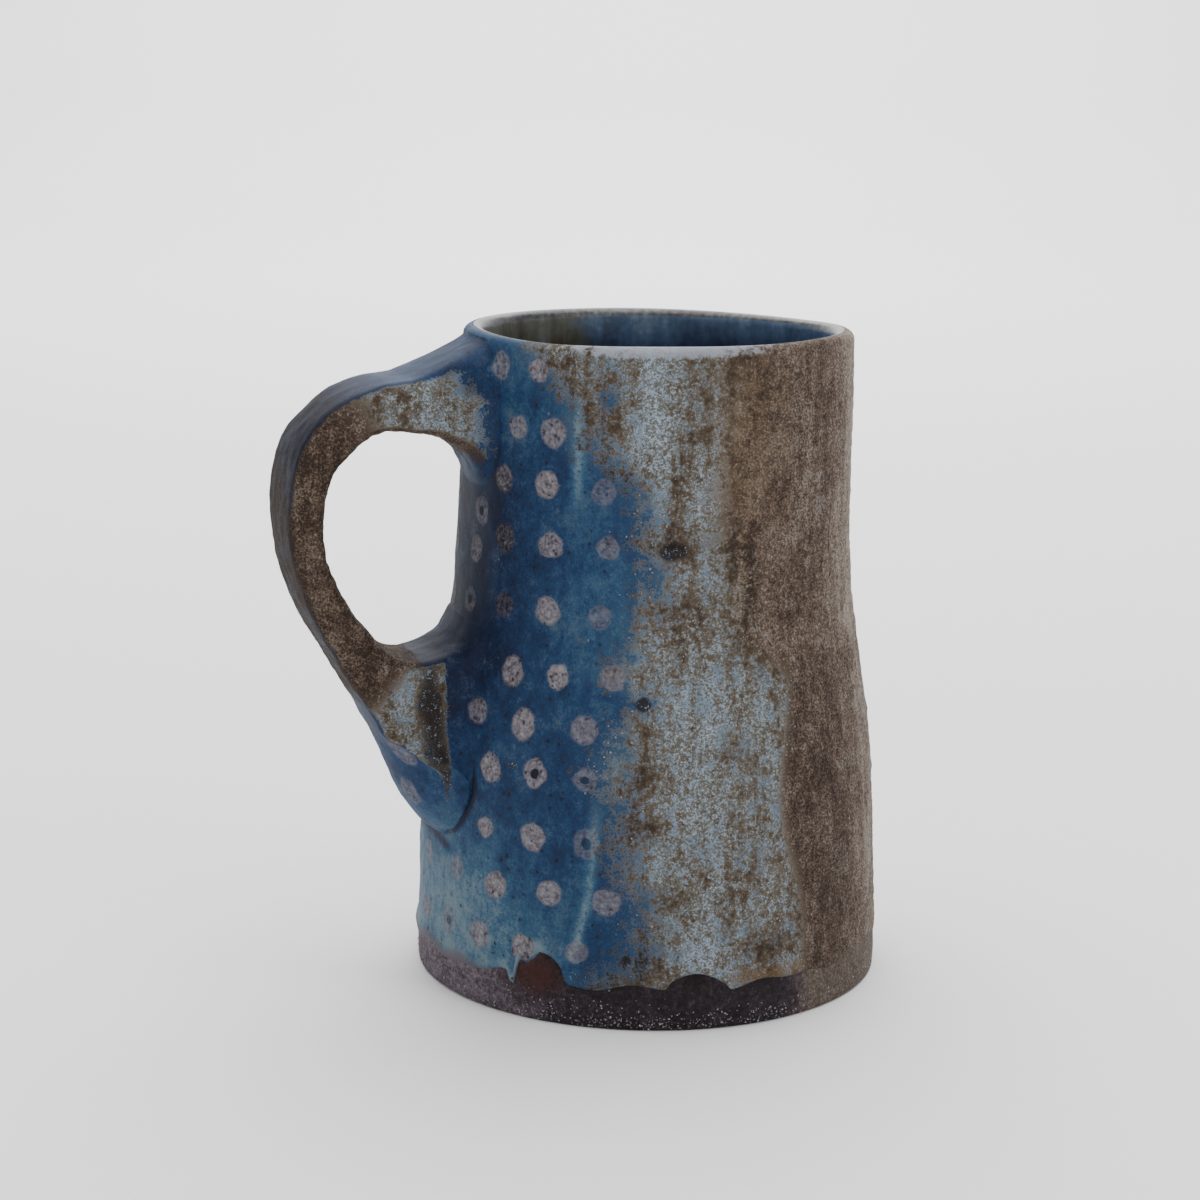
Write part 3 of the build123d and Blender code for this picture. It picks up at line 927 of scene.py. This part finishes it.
# Each row: its height, its first dot and their spacing in degrees round from the handle, and their number.
ROWS = (
    (12.6, 14.0, 13.2, 4), (22.7, 17.0, 14.6, 4), (32.0, 27.7, 14.0, 3), (42.3, 27.4, 13.6, 3),
    (50.6, 20.8, 16.2, 3), (59.4, 31.0, 14.6, 3), (69.8, 25.5, 15.4, 3), (80.9, 24.9, 16.4, 3),
    (91.0, 23.4, 16.3, 3), (100.6, 28.9, 12.9, 2), (110.2, 21.0, 15.0, 2), (85.0, 12.2, 0.0, 1),
    (77.5, 10.0, 0.0, 1), (68.5, 8.3, 0.0, 1), (42.8, 9.2, 0.0, 1), (35.4, 7.0, 0.0, 1), (22.7, 0.1, 0.0, 1),
    (12.6, 0.0, 0.0, 1),
)
DOT_REACH = 2.795
DOT_SIDES = 28
DOT_RINGS = 12
SUNK = 0.03
# Each dot starts flat and well outside the wall, and drops straight in until it meets the surface.
FLAT = 0.01
SET_OFF = 14.0
FALL = 60.0
rng = np.random.default_rng(7)
dot_points = []
dot_fields = {"turned": [], "wide": [], "tall": [], "strength": [], "heart": [], "painted_handle_shade": []}
for level, first, spacing, number in ROWS:
    sides = (1, -1) if first > 1.0 else (1,)
    for side in sides:
        for column in range(number):
            around = side * (first + column * spacing + rng.uniform(-0.5, 0.5))
            height = level + rng.uniform(-0.5, 0.5)
            reach = DOT_REACH * rng.uniform(0.9, 1.12)
            faint = mound(abs(around), 57.0, 6.0) + mound(abs(around), 8.0, 14.0)
            by_neck = soft_step(level, 46.0, 56.0) * soft_fall(level, 88.0, 96.0)
            dot_points.append(on_wall(around, height, SET_OFF))
            dot_fields["turned"].append(math.radians(around - 90.0))
            dot_fields["wide"].append(reach * MM)
            dot_fields["tall"].append(reach * rng.uniform(0.92, 1.12) * MM)
            dot_fields["strength"].append(rng.uniform(0.8, 1.0) - 0.45 * faint)
            dot_fields["heart"].append(rng.random())
            # Dots about 25 degrees round beside the neck are darkened by painted shade from the handle.
            dot_fields["painted_handle_shade"].append(mound(abs(around), 25.0, 5.0) * by_neck)


def draped_dot_tree():
    """Sets a small closed lens of slip at each place and drapes it over the surface that it meets."""
    tree, given = tree_with("draped_dots", (
        ("Places", "Geometry"), ("Surface", "Object"), ("Rise", "Float"), ("Sink", "Float"),
        ("Ragged by", "Float"), ("Ragged over", "Float"), ("Slip", "Material")), "Dots")
    lens = node(tree, "GeometryNodeMeshUVSphere", {"Segments": DOT_SIDES, "Rings": DOT_RINGS, "Radius": 1.0})
    place = node(tree, "GeometryNodeInputPosition").outputs[0]
    x, y, z = node(tree, "ShaderNodeSeparateXYZ", {0: place}).outputs
    share = calc(tree, "SQRT", calc(tree, "MULTIPLY_ADD", x, x, calc(tree, "MULTIPLY", y, y)))
    body = lens.outputs["Mesh"]
    for name, value in (("from_middle", share), ("above", z)):
        body = node(tree, "GeometryNodeStoreNamedAttribute", {"Geometry": body, "Name": name, "Value": value},
                    data_type="FLOAT", domain="POINT").outputs["Geometry"]
    facing = node(tree, "ShaderNodeCombineXYZ", {0: math.pi / 2, 1: 0.0, 2: kept_number(tree, "turned")})
    size = node(tree, "ShaderNodeCombineXYZ", {
        0: kept_number(tree, "wide"), 1: kept_number(tree, "tall"), 2: FLAT * MM})
    laid = node(tree, "GeometryNodeInstanceOnPoints", {
        "Points": given["Places"], "Instance": body, "Rotation": facing.outputs[0], "Scale": size.outputs[0]})
    real = node(tree, "GeometryNodeRealizeInstances", {"Geometry": laid.outputs[0]})
    noise = node(tree, "ShaderNodeTexNoise", {
        "Vector": place, "Scale": calc(tree, "DIVIDE", 1.0, given["Ragged over"]), "Detail": 1.0})
    swing = vector(tree, "SUBTRACT", noise.outputs["Color"], (0.5, 0.5, 0.5))
    reach = calc(tree, "MULTIPLY", given["Ragged by"], kept_number(tree, "from_middle"))
    source = vector(tree, "ADD", place, vector(tree, "SCALE", swing, reach))
    turned = kept_number(tree, "turned")
    inward_x = calc(tree, "MULTIPLY", calc(tree, "SINE", turned), -1.0)
    inward = node(tree, "ShaderNodeCombineXYZ", {0: inward_x, 1: calc(tree, "COSINE", turned)}).outputs[0]
    surface = node(tree, "GeometryNodeObjectInfo", {"Object": given["Surface"]}, transform_space="RELATIVE")
    met = node(tree, "GeometryNodeRaycast", {
        "Target Geometry": surface.outputs["Geometry"], "Source Position": source, "Ray Direction": inward,
        "Ray Length": FALL * MM})
    above = kept_number(tree, "above")
    lift = calc(tree, "MULTIPLY", calc(tree, "MAXIMUM", above, 0.0), given["Rise"])
    lift = calc(tree, "MULTIPLY_ADD", calc(tree, "MINIMUM", above, 0.0), given["Sink"], lift)
    step = vector(tree, "SCALE", inward, calc(tree, "SUBTRACT", SUNK * MM, lift))
    landed = vector(tree, "ADD", met.outputs["Hit Position"], step)
    moved = node(tree, "GeometryNodeSetPosition", {"Geometry": real.outputs[0], "Position": landed})
    finished(tree, moved.outputs[0], given["Slip"])
    return tree


SLIP_SHADES = ((0.12, (26, 22, 26)), (0.36, (68, 63, 68)), (0.6, (104, 99, 104)), (0.9, (138, 134, 138)))
DARK_HEART = (28, 26, 36)
PINHOLE = (38, 32, 38)


def slip_over_glaze(tree):
    """Pale pinkish slip with dark specks in the middle of each dot, and the glaze round it."""
    colour, roughness, height = fired_outside(tree)
    place = in_millimetres(tree)
    ragged = blotches(tree, place, 1.3, 3.0)
    fine = blotches(tree, place, 0.6, 2.0)
    # The slip is darker where the painted shade by the handle lies.
    bright = calc(tree, "MULTIPLY_ADD", painted(tree, "painted_handle_shade"), -0.34, 0.62)
    slip = shades(tree, shifted(tree, bright, (ragged, 0.7), (fine, 1.0)), SLIP_SHADES)
    from_middle = painted(tree, "from_middle")
    heart = calc(tree, "MULTIPLY", edge_at(tree, painted(tree, "heart"), 0.82, 0.84),
                 edge_at(tree, shifted(tree, from_middle, (ragged, 0.3)), 0.34, 0.24))
    slip = over(tree, heart, slip, DARK_HEART)
    cells = node(tree, "ShaderNodeTexVoronoi", {"Vector": place, "Scale": 0.7, "Randomness": 1.0})
    from_hole = shifted(tree, cells.outputs["Distance"], (ragged, 0.5), (fine, 0.3))
    pinhole = edge_at(tree, from_hole, 0.24, 0.12)
    slip = over(tree, pinhole, slip, PINHOLE, 0.75)
    mask = edge_at(tree, shifted(tree, from_middle, (ragged, 0.35), (fine, 0.4)), 0.88, 0.7)
    mask = calc(tree, "MULTIPLY", mask, painted(tree, "strength"))
    colour = over(tree, mask, colour, slip)
    return colour, calc(tree, "MULTIPLY_ADD", mask, 0.2, roughness), height


joined = bmesh.new()
for piece in (wall, outer_glaze, *handle_pieces):
    joined.from_mesh(piece.data)
surface = bpy.data.objects.new("surface_under_dots", bpy.data.meshes.new("surface_under_dots"))
joined.to_mesh(surface.data)
joined.free()
bpy.context.scene.collection.objects.link(surface)
dots = make_piece("dots_of_slip", dot_points, [])
paint(dots, **dot_fields)
grown(dots, draped_dot_tree(), Surface=surface, Rise=0.09 * MM, Sink=0.3 * MM, Ragged_by=1.5 * MM,
      Ragged_over=2.2 * MM, Slip=finish_material("dotted_slip", slip_over_glaze))
bpy.data.objects.remove(surface)
dots.data.shade_smooth()
points = np.array([vertex.co for vertex in dots.data.vertices]) / MM
paint(dots, **coats(np.degrees(np.arctan2(-points[:, 1], -points[:, 0])), points[:, 2]))
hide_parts("slip_dots")
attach(dots, "root")


# ---- The studio ------------------------------------------------------------------------------------
# A wide bowl of pale paper under the mug, flat in the middle and turned up at its edge. A large soft light
# hangs overhead, one lights the paper behind, and two weak ones fill the front.

BOWL_SIDES = 64
BOWL = ((0.02, 0.0), (0.6, 0.0), (1.6, 0.0), (1.9, 0.02), (2.2, 0.12), (2.45, 0.35), (2.6, 0.8), (2.6, 1.6))
studio_rows = []
for reach, level in BOWL:
    for k in range(BOWL_SIDES):
        angle = k / BOWL_SIDES * 2 * math.pi
        studio_rows.append((reach * math.cos(angle) / MM, reach * math.sin(angle) / MM, level / MM))
bowl_faces = [*band_faces(len(BOWL), BOWL_SIDES, False), tuple(range(BOWL_SIDES))]
studio = make_piece("studio_floor", studio_rows, bowl_faces)
paper = bpy.data.materials.new("pale_paper")
paper.use_nodes = True
paper.node_tree.nodes["Principled BSDF"].inputs["Base Color"].default_value = (0.9, 0.9, 0.9, 1)
paper.node_tree.nodes["Principled BSDF"].inputs["Roughness"].default_value = 0.9
studio.data.materials.append(paper)

for name, place, aim, size, energy in (
    ("overhead", (0.15, 0.4, 1.35), (0.0, 0.1, 0.0), 1.7, 42.0),
    ("behind", (0.6, 1.7, 1.1), (0.65, 1.9, 0.0), 1.3, 30.0),
    ("front_right", (0.9, -1.2, 0.9), (0.0, 0.0, 0.05), 1.0, 6.0),
    ("front_left", (-1.3, -0.9, 0.7), (0.0, 0.0, 0.05), 1.0, 3.5),
):
    light = bpy.data.lights.new(name, "AREA")
    light.size = size
    light.energy = energy
    lamp = bpy.data.objects.new(name, light)
    lamp.location = place
    lamp.rotation_euler = (Vector(aim) - Vector(place)).to_track_quat("-Z", "Y").to_euler()
    bpy.context.scene.collection.objects.link(lamp)
world = bpy.data.worlds.new("studio_light")
world.use_nodes = True
world.node_tree.nodes["Background"].inputs["Color"].default_value = (1.0, 1.0, 1.0, 1.0)
world.node_tree.nodes["Background"].inputs["Strength"].default_value = 0.25
bpy.context.scene.world = world

camera_data = bpy.data.cameras.new("camera")
camera_data.lens = 78.0
camera_data.sensor_width = 36.0
camera = bpy.data.objects.new("camera", camera_data)
bpy.context.scene.collection.objects.link(camera)
stand = Matrix.Rotation(math.radians(-19.0), 4, "Z") @ Matrix.Translation(Vector((-9.1, -456.0, 159.5)) * MM)
tilt = Matrix.Rotation(math.radians(90.0 - 11.64), 4, "X") @ Matrix.Rotation(math.radians(0.72), 4, "Z")
camera.matrix_world = stand @ tilt
bpy.context.scene.camera = camera
